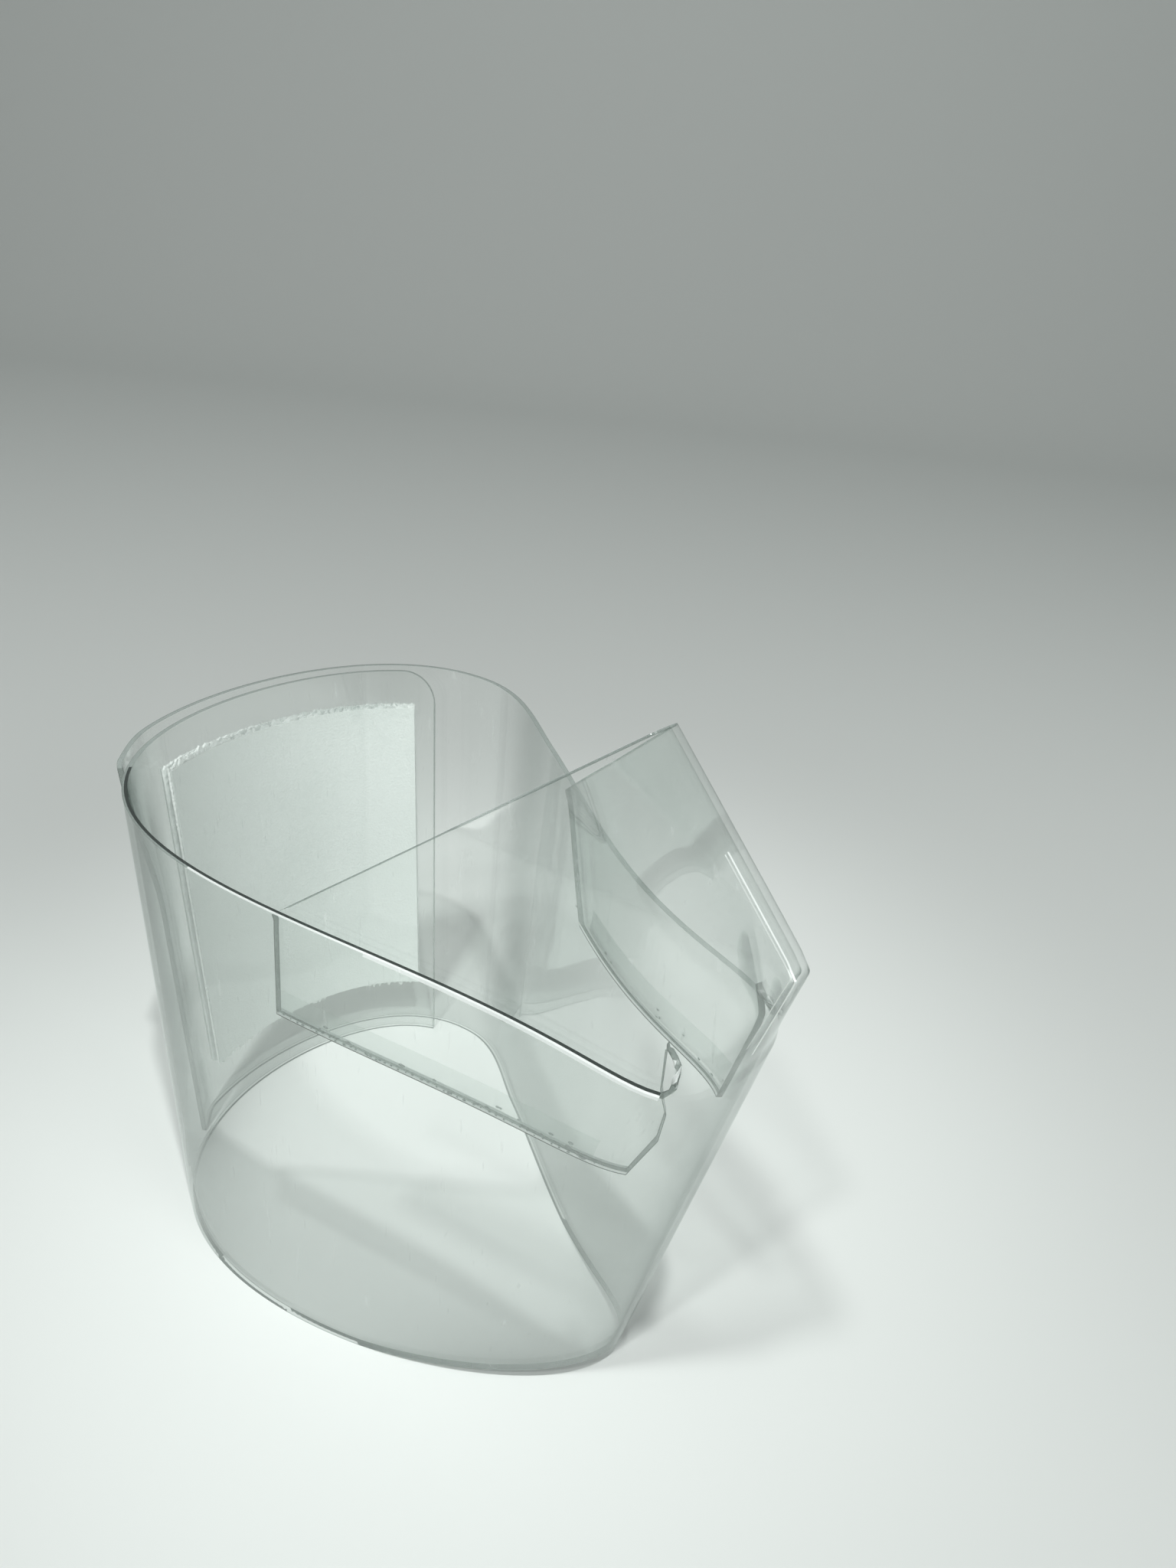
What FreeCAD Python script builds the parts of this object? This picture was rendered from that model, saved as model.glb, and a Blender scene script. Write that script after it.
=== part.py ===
"""Clear flexible platform protector: a wrapped clear sheet with a toe hood and a hook-and-loop closure.

Frame: toe toward +X, width along Y, +Z up, millimetres. The bottom edge stands on Z = 0 and the
origin is moved at the end to the middle of the bounding box, at the bottom.
"""
import FreeCAD, Part

import math
import os

os.makedirs("parts", exist_ok=True)

# ---------------------------------------------------------------- driving dimensions
SHEET = 0.8              # thickness of the clear sheet
RIM_HEIGHT = 74.5        # height of the top rim of the wrapped band
TOE_SPRING = 4.5         # how far the wall's foot line lifts off the ground at the toe
FOOT = 0.008             # share of the wall below that line, trimmed level where it meets the ground
BOTTOM_HALF_LENGTH = 43.9
BOTTOM_HALF_WIDTH = 27.1
BOTTOM_PEAR = 9.1        # how much wider the heel end is than the toe, at the bottom
TOP_HALF_LENGTH = 60.5
TOP_HALF_WIDTH = 28.5
TOP_PEAR = 10.8          # the same at the rim
TOP_SHIFT = 3.8          # how far the rim sits forward of the bottom edge
INNER_END = 2.55         # outline angle of the free end that lies inside the overlap
HINGE_AT = 2.425         # outline angle where the outer ply starts to peel
OUTER_END = 3.76         # outline angle of the free end that lies outside the overlap
STEP_FROM = 1.85         # outline angle where the far wall starts to step out over the overlap
HINGE_SLIT = 0.3         # width of the line that stands for the living hinge
PAD = 0.8                # thickness of the hook pad and of the loop pad
PAD_GLUE = 0.13          # thickness of each pad's self-adhesive backing
GLUE_ROOM = 0.02         # room between a backing and the sheet it sticks to
PAD_GAP = 0.3            # room left between the two pads
PAD_FROM = 2.64          # outline angle of the pads' toe-side edge
PAD_TO = 3.56            # outline angle of the pads' other edge
PAD_LOW = 0.13           # pads' lower edge, as a share of the wall height
PAD_HIGH = 0.90          # pads' upper edge
WING_LOW = 0.77          # lower edge of the hood's wings, as a share of the wall height
WING_GAP = 0.2           # room between a wing and the wall, which the clear tape fills
WING_TAPE = 0.12         # thickness of that clear double-sided tape
TAPE_TALL = 0.055        # height of the tape, as a share of the wall height
WING_BACK_NEAR = 2.6     # X of the wing's heel-side edge on the -Y side
NEAR_SLIT = 55.6         # X of the relief slit at the rim on the -Y side
FAR_SLIT = 53.0          # the same on the +Y side
SLIT_LEAN = 0.27         # how far the slits lean back per millimetre going down
RIDGE_TOP = (41.5, -3.0, 110.0)   # peak of the hood's free edge
RIDGE_FRONT = (65.0, -3.0, 92.0)  # pointed corner where the hood folds down the toe
HOOD_NEAR = (2.6, -29.3, 73.4)    # where the hood's free edge leaves the rim, -Y side
HOOD_FAR = (-3.2, 24.0, 74.5)     # the same, +Y side
RIDGE_RADIUS = 2.2       # bend radius along the ridge of the hood
BEND_DROP = 1.0          # how far below the rim the hood's bend is centred
BEND_SOFT = 3.0          # half the height over which the sheet turns from wall to hood
RELIEF_WIDE = 2.0        # lens-shaped relief opening at the toe end of each slit
RELIEF_TALL = 6.0

HALF = SHEET / 2.0
TAIL_OFFSET = HALF + 2 * (GLUE_ROOM + PAD_GLUE + PAD) + PAD_GAP + HALF
TAIL_CLOSE = 1.5         # how much of that the outer ply loses between the pads and its free end
WING_OFFSET = -(HALF + WING_GAP + HALF)
TURN = 2.0 * math.pi
V = FreeCAD.Vector


# ---------------------------------------------------------------- outlines and wall
def ease(value, start, stop):
    """0 before start, 1 after stop, smooth between."""
    share = min(1.0, max(0.0, (value - start) / (stop - start)))
    return share * share * (3.0 - 2.0 * share)


def bottom(angle):
    """A point of the bottom edge: pear-shaped outline, toe at angle 0, toe lifted off the ground."""
    c, s = math.cos(angle), math.sin(angle)
    c2, s2 = math.cos(2 * angle), math.sin(2 * angle)
    x = -0.6 + BOTTOM_HALF_LENGTH * c - 3.4 * c2 - 2.8 * s
    y = BOTTOM_HALF_WIDTH * s - BOTTOM_PEAR * s2 + 1.8 * math.sin(3 * angle) + 1.8 * c + 3.9 * c2
    lift = max(0.0, x / 42.0)
    return V(x, y, TOE_SPRING * lift * lift)


def top(angle):
    """A point of the rim, above the point of the bottom edge with the same angle."""
    c, s = math.cos(angle), math.sin(angle)
    c2, s2 = math.cos(2 * angle), math.sin(2 * angle)
    s3 = math.sin(3 * angle)
    x = TOP_SHIFT + TOP_HALF_LENGTH * c - 4.8 * c2 - 1.5 * math.cos(3 * angle) - 5.9 * s
    y = TOP_HALF_WIDTH * s - TOP_PEAR * s2 + 4.5 * s3 + 1.3 * math.sin(4 * angle) - 0.6 * c + 1.5 * c2
    return V(x, y, RIM_HEIGHT)


def wall(angle, share, offset=0.0):
    """A point of the wall: share 0 is the bottom edge, 1 the rim.

    offset is the distance outward from the wall. The point is moved level, so that edges stay level.
    """
    low, high = bottom(angle), top(angle)
    point = low + (high - low) * share
    if offset == 0.0:
        return point
    step = 0.01
    ahead = bottom(angle + step) + (top(angle + step) - bottom(angle + step)) * share
    behind = bottom(angle - step) + (top(angle - step) - bottom(angle - step)) * share
    normal = (ahead - behind).cross(high - low)
    normal.normalize()
    level = V(normal.x, normal.y, 0)
    return point + level * (offset / level.Length ** 2)


# ---------------------------------------------------------------- solids from point grids
def surface(grid):
    face = Part.BSplineSurface()
    face.interpolate(grid)
    return face


def close_sheet(inside, outside):
    """A solid between two point grids of the same size."""
    faces = [surface(inside), surface(outside)]
    shapes = [f.toShape() for f in faces]
    (u0, u1, v0, v1), (p0, p1, q0, q1) = faces[0].bounds(), faces[1].bounds()
    pairs = [
        (faces[0].uIso(u0), faces[1].uIso(p0)),
        (faces[0].uIso(u1), faces[1].uIso(p1)),
        (faces[0].vIso(v0), faces[1].vIso(q0)),
        (faces[0].vIso(v1), faces[1].vIso(q1)),
    ]
    for one, other in pairs:
        shapes.append(Part.makeRuledSurface(one.toShape(), other.toShape()))
    shell = Part.makeShell(shapes)
    shell.sewShape()
    solid = Part.makeSolid(shell)
    if solid.Volume < 0:
        solid.reverse()
    return solid


def spread(start, stop, count):
    return [start + (stop - start) * i / (count - 1) for i in range(count)]


def even_angles(start, stop, count):
    """Outline angles that split a stretch of the rim into equal lengths."""
    fine = spread(start, stop, 800)
    run = [0.0]
    for a, b in zip(fine, fine[1:]):
        run.append(run[-1] + (top(b) - top(a)).Length)
    out = []
    k = 0
    for i in range(count):
        goal = run[-1] * i / (count - 1)
        while k < len(run) - 2 and run[k + 1] < goal:
            k += 1
        share = (goal - run[k]) / (run[k + 1] - run[k])
        out.append(fine[k] + (fine[k + 1] - fine[k]) * share)
    return out


def wall_sheet(angles, shares, offset_of, thick):
    """A piece of wall; offset_of(angle) is the offset of its middle surface."""
    inside = [[wall(a, s, offset_of(a) - thick / 2) for s in shares] for a in angles]
    outside = [[wall(a, s, offset_of(a) + thick / 2) for s in shares] for a in angles]
    return close_sheet(inside, outside)


# ---------------------------------------------------------------- the wrapped band
def ply_offset(angle):
    """The far wall steps out by the thickness of the closure before it reaches the overlap."""
    return TAIL_OFFSET * ease(angle, TURN + STEP_FROM, TURN + HINGE_AT - 0.08)


def slit_angle():
    """Half the hinge line's width as an outline angle at the rim."""
    per_angle = (top(HINGE_AT + 0.01) - top(HINGE_AT)).Length / 0.01
    return 0.5 * HINGE_SLIT / per_angle


def standing(sheet):
    """The sheet trimmed level with the ground, so that its bottom edge stands flat."""
    return sheet.cut(Part.makeBox(400, 400, 20, V(-200, -200, -20))).Solids[0]


FULL_HEIGHT = spread(-FOOT, 1.0, 5)
WALL_ANGLES = even_angles(INNER_END, TURN + HINGE_AT - slit_angle(), 150)
band_wall = standing(wall_sheet(WALL_ANGLES, FULL_HEIGHT, ply_offset, SHEET))


def tail_offset(angle):
    """Past the pads the outer ply comes back toward the inner one."""
    return TAIL_OFFSET - TAIL_CLOSE * ease(angle, TURN + PAD_TO + 0.01, TURN + OUTER_END)


TAIL_ANGLES = even_angles(TURN + HINGE_AT + slit_angle(), TURN + OUTER_END, 40)
band_tail = standing(wall_sheet(TAIL_ANGLES, FULL_HEIGHT, tail_offset, SHEET))


# ---------------------------------------------------------------- closure pads
PAD_ANGLES = even_angles(PAD_FROM, PAD_TO, 30)
PAD_SHARES = spread(PAD_LOW, PAD_HIGH, 4)


def pad_layer(low, high):
    return wall_sheet(PAD_ANGLES, PAD_SHARES, lambda angle: (low + high) / 2, high - low)


level = HALF + GLUE_ROOM
loop_pad_adhesive = pad_layer(level, level + PAD_GLUE)
level += PAD_GLUE
loop_pad = pad_layer(level, level + PAD)
level += PAD + PAD_GAP
hook_pad = pad_layer(level, level + PAD)
level += PAD
hook_pad_adhesive = pad_layer(level, level + PAD_GLUE)


# ---------------------------------------------------------------- wing tapes
def angle_at_x(x, start, stop):
    """The outline angle between start and stop whose rim point has this X."""
    for _ in range(60):
        middle = 0.5 * (start + stop)
        if (top(middle).x - x) * (top(start).x - x) > 0:
            start = middle
        else:
            stop = middle
    return 0.5 * (start + stop)


def wing_tape(start, stop):
    shares = spread(WING_LOW + 0.006, WING_LOW + 0.006 + TAPE_TALL, 4)
    middle = -HALF - WING_GAP / 2
    return wall_sheet(even_angles(start, stop, 30), shares, lambda angle: middle, WING_TAPE)


near_back = angle_at_x(WING_BACK_NEAR, 4.2, 5.2)
near_toe = angle_at_x(NEAR_SLIT, 5.0, 6.1)
far_toe = angle_at_x(FAR_SLIT, 0.2, 1.0)
far_back = angle_at_x(HOOD_FAR[0] + 14.0, 1.0, 2.2)
near_wing_tape = wing_tape(near_back + 0.03, near_toe - 0.18)
far_wing_tape = wing_tape(far_toe + 0.10, far_back - 0.03)


# ---------------------------------------------------------------- toe hood
def hood_offset(angle):
    """Inside the walls along the wings, in line with the wall round the toe."""
    near = ease(angle, near_toe, near_toe + 0.2)
    far = 1.0 - ease(angle, TURN + far_toe - 0.2, TURN + far_toe)
    return WING_OFFSET * (1.0 - min(near, far))


def ridge_x(z):
    """Profile of the hood in the middle: up the toe to the corner, then back along the ridge."""
    toe_x = top(0.0).x
    up = toe_x + (RIDGE_FRONT[0] - toe_x) * (z - RIM_HEIGHT) / (RIDGE_FRONT[2] - RIM_HEIGHT)
    slope = (RIDGE_TOP[0] - RIDGE_FRONT[0]) / (RIDGE_TOP[2] - RIDGE_FRONT[2])
    back = RIDGE_FRONT[0] + slope * (z - RIDGE_FRONT[2])
    blend = 0.9
    return 0.5 * (up + back - math.sqrt((up - back) ** 2 + blend * blend))


def tent_y(z, x, side):
    """Y of the flat side panel through a foot of the free edge and the ridge."""
    foot = HOOD_NEAR if side < 0 else HOOD_FAR
    a = V(*RIDGE_TOP) - V(*foot)
    b = V(*RIDGE_FRONT) - V(*foot)
    n = a.cross(b)
    return foot[1] - (n.x * (x - foot[0]) + n.z * (z - foot[2])) / n.y


def hairpin(z, count):
    """A level cut through the folded hood: near leg, round nose, far leg."""
    back_x = -14.0
    nose = ridge_x(z)
    radius = RIDGE_RADIUS
    near = V(back_x, tent_y(z, back_x, -1), z)
    far = V(back_x, tent_y(z, back_x, 1), z)
    tip = V(nose, RIDGE_FRONT[1], z)
    near_dir = (tip - near).normalize()
    far_dir = (tip - far).normalize()
    half_angle = 0.5 * math.acos(max(-1.0, min(1.0, near_dir.dot(far_dir))))
    cut = radius / math.tan(half_angle)
    bow = radius / math.sin(half_angle) - radius
    tip = tip + V(bow * 0.9, 0, 0)
    near_stop = tip - near_dir * cut
    far_stop = tip - far_dir * cut
    middle = (near_dir + far_dir).normalize() * (-radius / math.sin(half_angle)) + tip
    points = []
    for i in range(count):
        if i < LEG:
            points.append(near + (near_stop - near) * (i / (LEG - 1)))
        elif i > count - 1 - LEG:
            points.append(far_stop + (far - far_stop) * ((i - count + LEG) / (LEG - 1)))
        else:
            w = (i - LEG + 1) / (count - 2 * LEG + 1)
            a = near_stop - middle
            b = far_stop - middle
            whole = math.acos(max(-1.0, min(1.0, a.dot(b) / (radius * radius))))
            turn = FreeCAD.Rotation(V(0, 0, 1), math.degrees(whole * w))
            points.append(middle + turn.multVec(a))
    return points


BACK_NEAR = angle_at_x(-14.0, 4.0, 5.2)
BACK_FAR = TURN + angle_at_x(-14.0, 1.2, 2.4)
NOSE_NEAR = near_toe - 0.10
NOSE_FAR = TURN + far_toe - 0.05
COLUMNS = 61


LEG = 24
HOOD_ANGLES = even_angles(BACK_NEAR, NOSE_NEAR, LEG)
HOOD_ANGLES += even_angles(NOSE_NEAR, NOSE_FAR, COLUMNS - 2 * LEG + 2)[1:-1]
HOOD_ANGLES += even_angles(NOSE_FAR, BACK_FAR, LEG)


def bend_share(z):
    """How far a level of the hood has moved from the wall toward the fold, 0 to 1, starting gently."""
    rise = RIDGE_FRONT[2] - RIM_HEIGHT
    d = z - RIM_HEIGHT + BEND_DROP
    soft = BEND_SOFT
    if d <= -soft:
        return 0.0
    if d < soft:
        return (d + soft) ** 2 / (4.0 * soft) / (rise + BEND_DROP)
    return d / (rise + BEND_DROP)


def hood_row(z):
    """One level of the hood: along the walls up to the rim, then straight toward the folded hood."""
    if z >= RIDGE_FRONT[2]:
        return hairpin(z, COLUMNS)
    fold = hairpin(RIDGE_FRONT[2], COLUMNS)
    share = bend_share(z)
    row = []
    for a, f in zip(HOOD_ANGLES, fold):
        low = bottom(a)
        height = min(1.0, (z - low.z) / (RIM_HEIGHT - low.z))
        base = wall(a, height, hood_offset(a))
        rim = wall(a, 1.0, hood_offset(a))
        lean = V(f.x - rim.x, f.y - rim.y, 0)
        if hood_offset(a) > -0.3 and z < RIM_HEIGHT:
            lean = V(0, 0, 0)
        row.append(V(base.x, base.y, z) + lean * share)
    return row


HOOD_LEVELS = [54.0, 57.5, 61.0, 64.5, 68.0, 70.5, 72.5, 74.5, 76.5, 79.0, 82.0, 85.0, 88.0, 90.0, 92.0]
HOOD_LEVELS += [94.0, 97.0, 100.0, 103.0, 106.0, 110.0, 115.0]
middle_grid = [hood_row(z) for z in HOOD_LEVELS]


def grid_normal(grid, j, i):
    up = grid[min(j + 1, len(grid) - 1)][i] - grid[max(j - 1, 0)][i]
    along = grid[j][min(i + 1, COLUMNS - 1)] - grid[j][max(i - 1, 0)]
    return along.cross(up).normalize()


def shifted(grid, amount):
    rows = range(len(grid))
    return [[grid[j][i] + grid_normal(grid, j, i) * amount for i in range(COLUMNS)] for j in rows]


hood = close_sheet(shifted(middle_grid, -HALF), shifted(middle_grid, HALF))


def half_space(points, inside):
    """A big block on the side of the plane through three points that does not hold the point inside."""
    a, b, c = [V(*p) for p in points]
    n = (b - a).cross(c - a).normalize()
    if n.dot(V(*inside) - a) > 0:
        n = n * -1.0
    block = Part.makeBox(400, 400, 200, V(-200, -200, 0))
    block.Placement = FreeCAD.Placement(a, FreeCAD.Rotation(V(0, 0, 1), n))
    return block


hood = hood.cut(half_space([HOOD_NEAR, RIDGE_TOP, HOOD_FAR], (60, 0, 75)))
for slit_x, y_from in ((NEAR_SLIT, -60.0), (FAR_SLIT, RIDGE_FRONT[1])):
    low_x = slit_x - 40.0 * SLIT_LEAN
    side = [V(slit_x, y_from, RIM_HEIGHT), V(low_x, y_from, RIM_HEIGHT - 40)]
    side += [V(120, y_from, RIM_HEIGHT - 40), V(120, y_from, RIM_HEIGHT)]
    front = Part.Face(Part.makePolygon(side + side[:1])).extrude(V(0, 57, 0))
    hood = hood.cut(front)
wing_floor = RIM_HEIGHT * WING_LOW
hood = hood.cut(Part.makeBox(200, 200, 60, V(-100, -100, wing_floor - 60)))
hood = hood.cut(Part.makeBox(60, 60, 200, V(WING_BACK_NEAR - 60, -60, -20)))
far_edge = [HOOD_FAR, (HOOD_FAR[0], 0.0, RIM_HEIGHT), (HOOD_FAR[0] + 12.0, HOOD_FAR[1], wing_floor)]
hood = hood.cut(half_space(far_edge, (40, 0, 70)))
squeeze = FreeCAD.Matrix()
squeeze.scale(V(RELIEF_WIDE / RELIEF_TALL, 1.0, 1.0))
for slit_x, y_from in ((NEAR_SLIT, -40.0), (FAR_SLIT, RIDGE_FRONT[1])):
    lens = Part.makeCylinder(RELIEF_TALL / 2, 37, V(0, y_from, 0), V(0, 1, 0))
    lens = lens.transformGeometry(squeeze)
    lens.translate(V(slit_x + RELIEF_WIDE / 2, 0, RIM_HEIGHT + RELIEF_TALL / 2 - 1.0))
    hood = hood.cut(lens)
toe_hood = max(hood.Solids, key=lambda s: s.Volume)

# ---------------------------------------------------------------- origin and export
pieces = {
    "band_wall": band_wall,
    "band_tail": band_tail,
    "toe_hood": toe_hood,
    "near_wing_tape": near_wing_tape,
    "far_wing_tape": far_wing_tape,
    "loop_pad": loop_pad,
    "loop_pad_adhesive": loop_pad_adhesive,
    "hook_pad": hook_pad,
    "hook_pad_adhesive": hook_pad_adhesive,
}
box = FreeCAD.BoundBox()
for shape in pieces.values():
    box.add(shape.optimalBoundingBox(False))
shift = V(-box.Center.x, -box.Center.y, -box.ZMin)
for name, shape in pieces.items():
    shape.translate(shift)
    shape.exportStep("parts/" + name + ".step")
    print(name, "valid", shape.isValid(), "solids", len(shape.Solids), "volume %.0f" % shape.Volume)
axis_low = wall(HINGE_AT, 0.0, TAIL_OFFSET + HALF) + shift
axis_high = wall(HINGE_AT, 1.0, TAIL_OFFSET + HALF) + shift
print("size", box.XLength, box.YLength, box.ZLength, "shift", shift)
print("hinge", axis_low, axis_high)
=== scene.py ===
import bpy
import bmesh
import math
import random
from mathutils import Matrix, Vector, noise


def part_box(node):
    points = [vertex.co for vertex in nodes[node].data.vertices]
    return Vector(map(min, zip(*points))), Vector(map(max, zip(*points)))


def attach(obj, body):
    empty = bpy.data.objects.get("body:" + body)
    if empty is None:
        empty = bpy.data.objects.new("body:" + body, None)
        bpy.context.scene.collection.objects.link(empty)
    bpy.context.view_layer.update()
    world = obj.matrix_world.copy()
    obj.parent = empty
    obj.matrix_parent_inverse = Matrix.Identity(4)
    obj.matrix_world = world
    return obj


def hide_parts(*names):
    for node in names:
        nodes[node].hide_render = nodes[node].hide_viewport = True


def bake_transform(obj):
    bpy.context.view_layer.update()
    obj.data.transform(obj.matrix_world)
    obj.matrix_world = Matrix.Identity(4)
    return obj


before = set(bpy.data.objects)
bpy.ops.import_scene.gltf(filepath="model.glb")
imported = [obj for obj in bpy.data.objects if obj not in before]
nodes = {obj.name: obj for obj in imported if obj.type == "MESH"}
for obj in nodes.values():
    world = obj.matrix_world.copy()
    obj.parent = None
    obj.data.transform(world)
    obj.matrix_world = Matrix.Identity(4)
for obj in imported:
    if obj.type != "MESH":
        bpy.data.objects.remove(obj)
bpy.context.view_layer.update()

TURN = 2.0 * math.pi
MM = 0.001

# ---------------------------------------------------------------- driving dimensions
# Lengths are in millimetres. Angles are in radians round the band: 0 at the toe, pi / 2 on the
# far side, pi at the heel, 3 pi / 2 on the near side. The band starts at INNER_END, goes once
# round by way of the heel, the near side and the toe, and overlaps itself up to OUTER_END.
SHEET = 0.8                 # thickness of the clear sheet
HALF = SHEET / 2
RIM = 74.5                  # height of the rim
TOE_SPRING = 4.5            # how far the bottom edge lifts at the toe
FOOT = 0.008                # share of the wall that may reach below the bottom curve
INNER_END = 2.55
HINGE_AT = 2.425            # the peel line, on the outer ply
OUTER_END = 3.76
STEP_FROM = 1.85            # where the outer ply starts to step outward
TAIL_OFFSET = 3.0           # outer ply from inner ply
TAIL_DRAWN_IN = 1.75        # how far the tail's free end comes back toward the inner ply
TAIL_SPRUNG = 0.6           # how much less it does so at its upper corner
BEND_LENGTH = 14.0          # rim length of the strip that bends at the peel line
INNER_CORNER = 6.0          # radius of the inner end's upper corner
OUTER_CORNER = 0.8          # and of the outer end's
WING_OFFSET = -1.0          # the wings lie inside the wall
WING_FLOOR = 0.77 * RIM     # height of the wings' lower edge
WING_BACK_NEAR = 2.6        # x of the near wing's back edge
WING_BACK_LEAN = 12.0       # how far the far wing's back edge leans forward on its way down
WING_TOE_LEAN = 0.27        # slope of the far wing's toe-side edge
PAD_FROM = 2.64             # the hook-and-loop pads: angles, and shares of the wall's height
PAD_TO = 3.56
PAD_LOW = 0.13
PAD_HIGH = 0.90
NEAR_SLIT = 55.6            # x of the relief slits, where the rim turns into the hood
FAR_SLIT = 53.0
SLIT_TOP = RIM + 4.8        # the slits open as lenses, from the rim to this height
SLIT_WIDE = 1.7
RIDGE_TOP = Vector((41.5, -3.0, 110.0))
RIDGE_FRONT = Vector((65.0, -3.0, 92.0))
HOOD_NEAR = Vector((2.6, -29.3, 73.4))
HOOD_FAR = Vector((-3.2, 24.0, 74.5))
RIDGE_RADIUS = 2.2          # radius of the hood's fold
RIDGE_GIVEN_BACK = 0.9      # share of that rounding's setback by which the fold moves forward
RIDGE_SOFT = 0.81           # rounds the ridge's front corner
FOLD_AT_SLIT = 0.868        # share of each side of the fold that lies behind the slit
BACK_X = -14.0              # where the sides of the fold start
SIDE_BEND = (RIM - 1.0, 3.0)    # the hood leans in at this height, rounded by this much
FRONT_BEND = (RIM + 1.5, 1.5)

# narrow strips of mesh along the cut edges, which carry the edges' materials, and at the near rim a
# painted dark reflection and a painted highlight
FOOT_STRIP = 0.16
RIM_STRIP_NEAR = 0.07
RIM_STRIP_FAR = 0.12
END_STRIP = 0.12
TAIL_STRIP = 0.26
WING_STRIP = 0.18
HOOD_STRIP = 0.14
GLINT = 0.45                # the painted highlight strip beside some cut edges
GLINT_FROM = 4.75           # angle where it starts along the near rim
GLINT_FROM_X = -12.0        # x where the rim's outer cut face takes the painted highlight
DARK_REFLECTION_FROM = 3.80            # angle where the near rim's painted dark reflection starts
DARK_REFLECTION_SHARE = 0.58           # share of the rim's cut face given the painted dark reflection

# steps of the meshes
WALL_STEPS = 29
HOOD_LOW_STEPS = 26
HOOD_HIGH_STEPS = 14
WING_STEPS = 21
FRONT_COLUMNS = 63
PAD_COLUMNS = 150
PAD_ROWS = 60


# ---------------------------------------------------------------- the wall's shape
def ease(value, start, stop):
    share = min(1.0, max(0.0, (value - start) / (stop - start)))
    return share * share * (3.0 - 2.0 * share)


def mix(a, b, share):
    return a + (b - a) * share


def bottom(angle):
    c, s = math.cos(angle), math.sin(angle)
    c2, s2 = math.cos(2 * angle), math.sin(2 * angle)
    x = -0.6 + 43.9 * c - 3.4 * c2 - 2.8 * s
    y = 27.1 * s - 9.1 * s2 + 1.8 * math.sin(3 * angle) + 1.8 * c + 3.9 * c2
    lift = max(0.0, x / 42.0)
    return Vector((x, y, TOE_SPRING * lift * lift))


def top(angle):
    c, s = math.cos(angle), math.sin(angle)
    c2, s2 = math.cos(2 * angle), math.sin(2 * angle)
    x = 3.8 + 60.5 * c - 4.8 * c2 - 1.5 * math.cos(3 * angle) - 5.9 * s
    y = 28.5 * s - 10.8 * s2 + 4.5 * math.sin(3 * angle) + 1.3 * math.sin(4 * angle)
    return Vector((x, y - 0.6 * c + 1.5 * c2, RIM))


def wall(angle, share, offset=0.0):
    """A point of the wall: share 0 on the bottom curve, 1 at the rim, and offset outward."""
    low, high = bottom(angle), top(angle)
    point = mix(low, high, share)
    if offset == 0.0:
        return point
    step = 0.01
    ahead = mix(bottom(angle + step), top(angle + step), share)
    behind = mix(bottom(angle - step), top(angle - step), share)
    normal = (ahead - behind).cross(high - low).normalized()
    level = Vector((normal.x, normal.y, 0))
    return point + level * (offset / level.length_squared)


def share_at(angle, z):
    low = bottom(angle)
    return (z - low.z) / (RIM - low.z)


def foot_share(angle):
    """Share of the bottom edge: level with the ground, and lifted at the toe."""
    return max(-FOOT, share_at(angle, 0.0))


def ply_offset(angle):
    """How far out the band lies: it steps outward where it starts to overlap itself."""
    return TAIL_OFFSET * ease(angle, TURN + STEP_FROM, TURN + HINGE_AT - 0.08)


def tail_end(share):
    """Angle of the outer ply's free end, which springs out a little at its upper corner."""
    return TURN + OUTER_END - 0.06 + 0.08 * ease(share, 0.6, 1.0)


def tail_offset(angle, share):
    drawn_in = TAIL_DRAWN_IN - TAIL_SPRUNG * ease(share, 0.6, 1.0)
    return TAIL_OFFSET - drawn_in * ease(angle, TURN + PAD_TO + 0.01, tail_end(share))


def running_length(angles):
    """Length along the rim from the first angle to each angle."""
    run = [0.0]
    for a, b in zip(angles, angles[1:]):
        run.append(run[-1] + (top(b) - top(a)).length)
    return run


def rim_length(start, stop, count=400):
    return running_length([mix(start, stop, i / count) for i in range(count + 1)])[-1]


def even_angles(start, stop, count):
    """count angles from start to stop, evenly spaced along the rim."""
    steps = 600
    fine = [mix(start, stop, i / steps) for i in range(steps + 1)]
    run = running_length(fine)
    out = []
    k = 0
    for i in range(count):
        goal = run[-1] * i / (count - 1)
        while k < steps - 1 and run[k + 1] < goal:
            k += 1
        out.append(mix(fine[k], fine[k + 1], (goal - run[k]) / (run[k + 1] - run[k])))
    return out


def solve(function, low, high):
    """Where function changes sign between low and high."""
    start = function(low)
    for _ in range(44):
        middle = 0.5 * (low + high)
        if function(middle) * start > 0:
            low = middle
        else:
            high = middle
    return 0.5 * (low + high)


# the CAD solid is moved to the middle of its box: the same move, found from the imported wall
wall_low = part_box("band_wall")[0] / MM
outer = [wall(mix(INNER_END, TURN + INNER_END, i / 1200), 1.0, HALF) for i in range(1200)]
SHIFT = Vector((wall_low.x - min(p.x for p in outer), wall_low.y - min(p.y for p in outer), 0.0))


def place(point):
    """From these dimensions to the frame, in metres."""
    return (point + SHIFT) * MM


# ---------------------------------------------------------------- meshes from point grids
# sheet materials: clear film, cut edge, painted dark reflection along the near rim, painted
# highlight, faint cut edge
CLEAR, EDGE, EDGE_DARK_REFLECTION, EDGE_HIGHLIGHT, EDGE_FAINT = 0, 1, 2, 3, 4
MAIN, BEND, TAIL = 0, 1, 2


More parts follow.
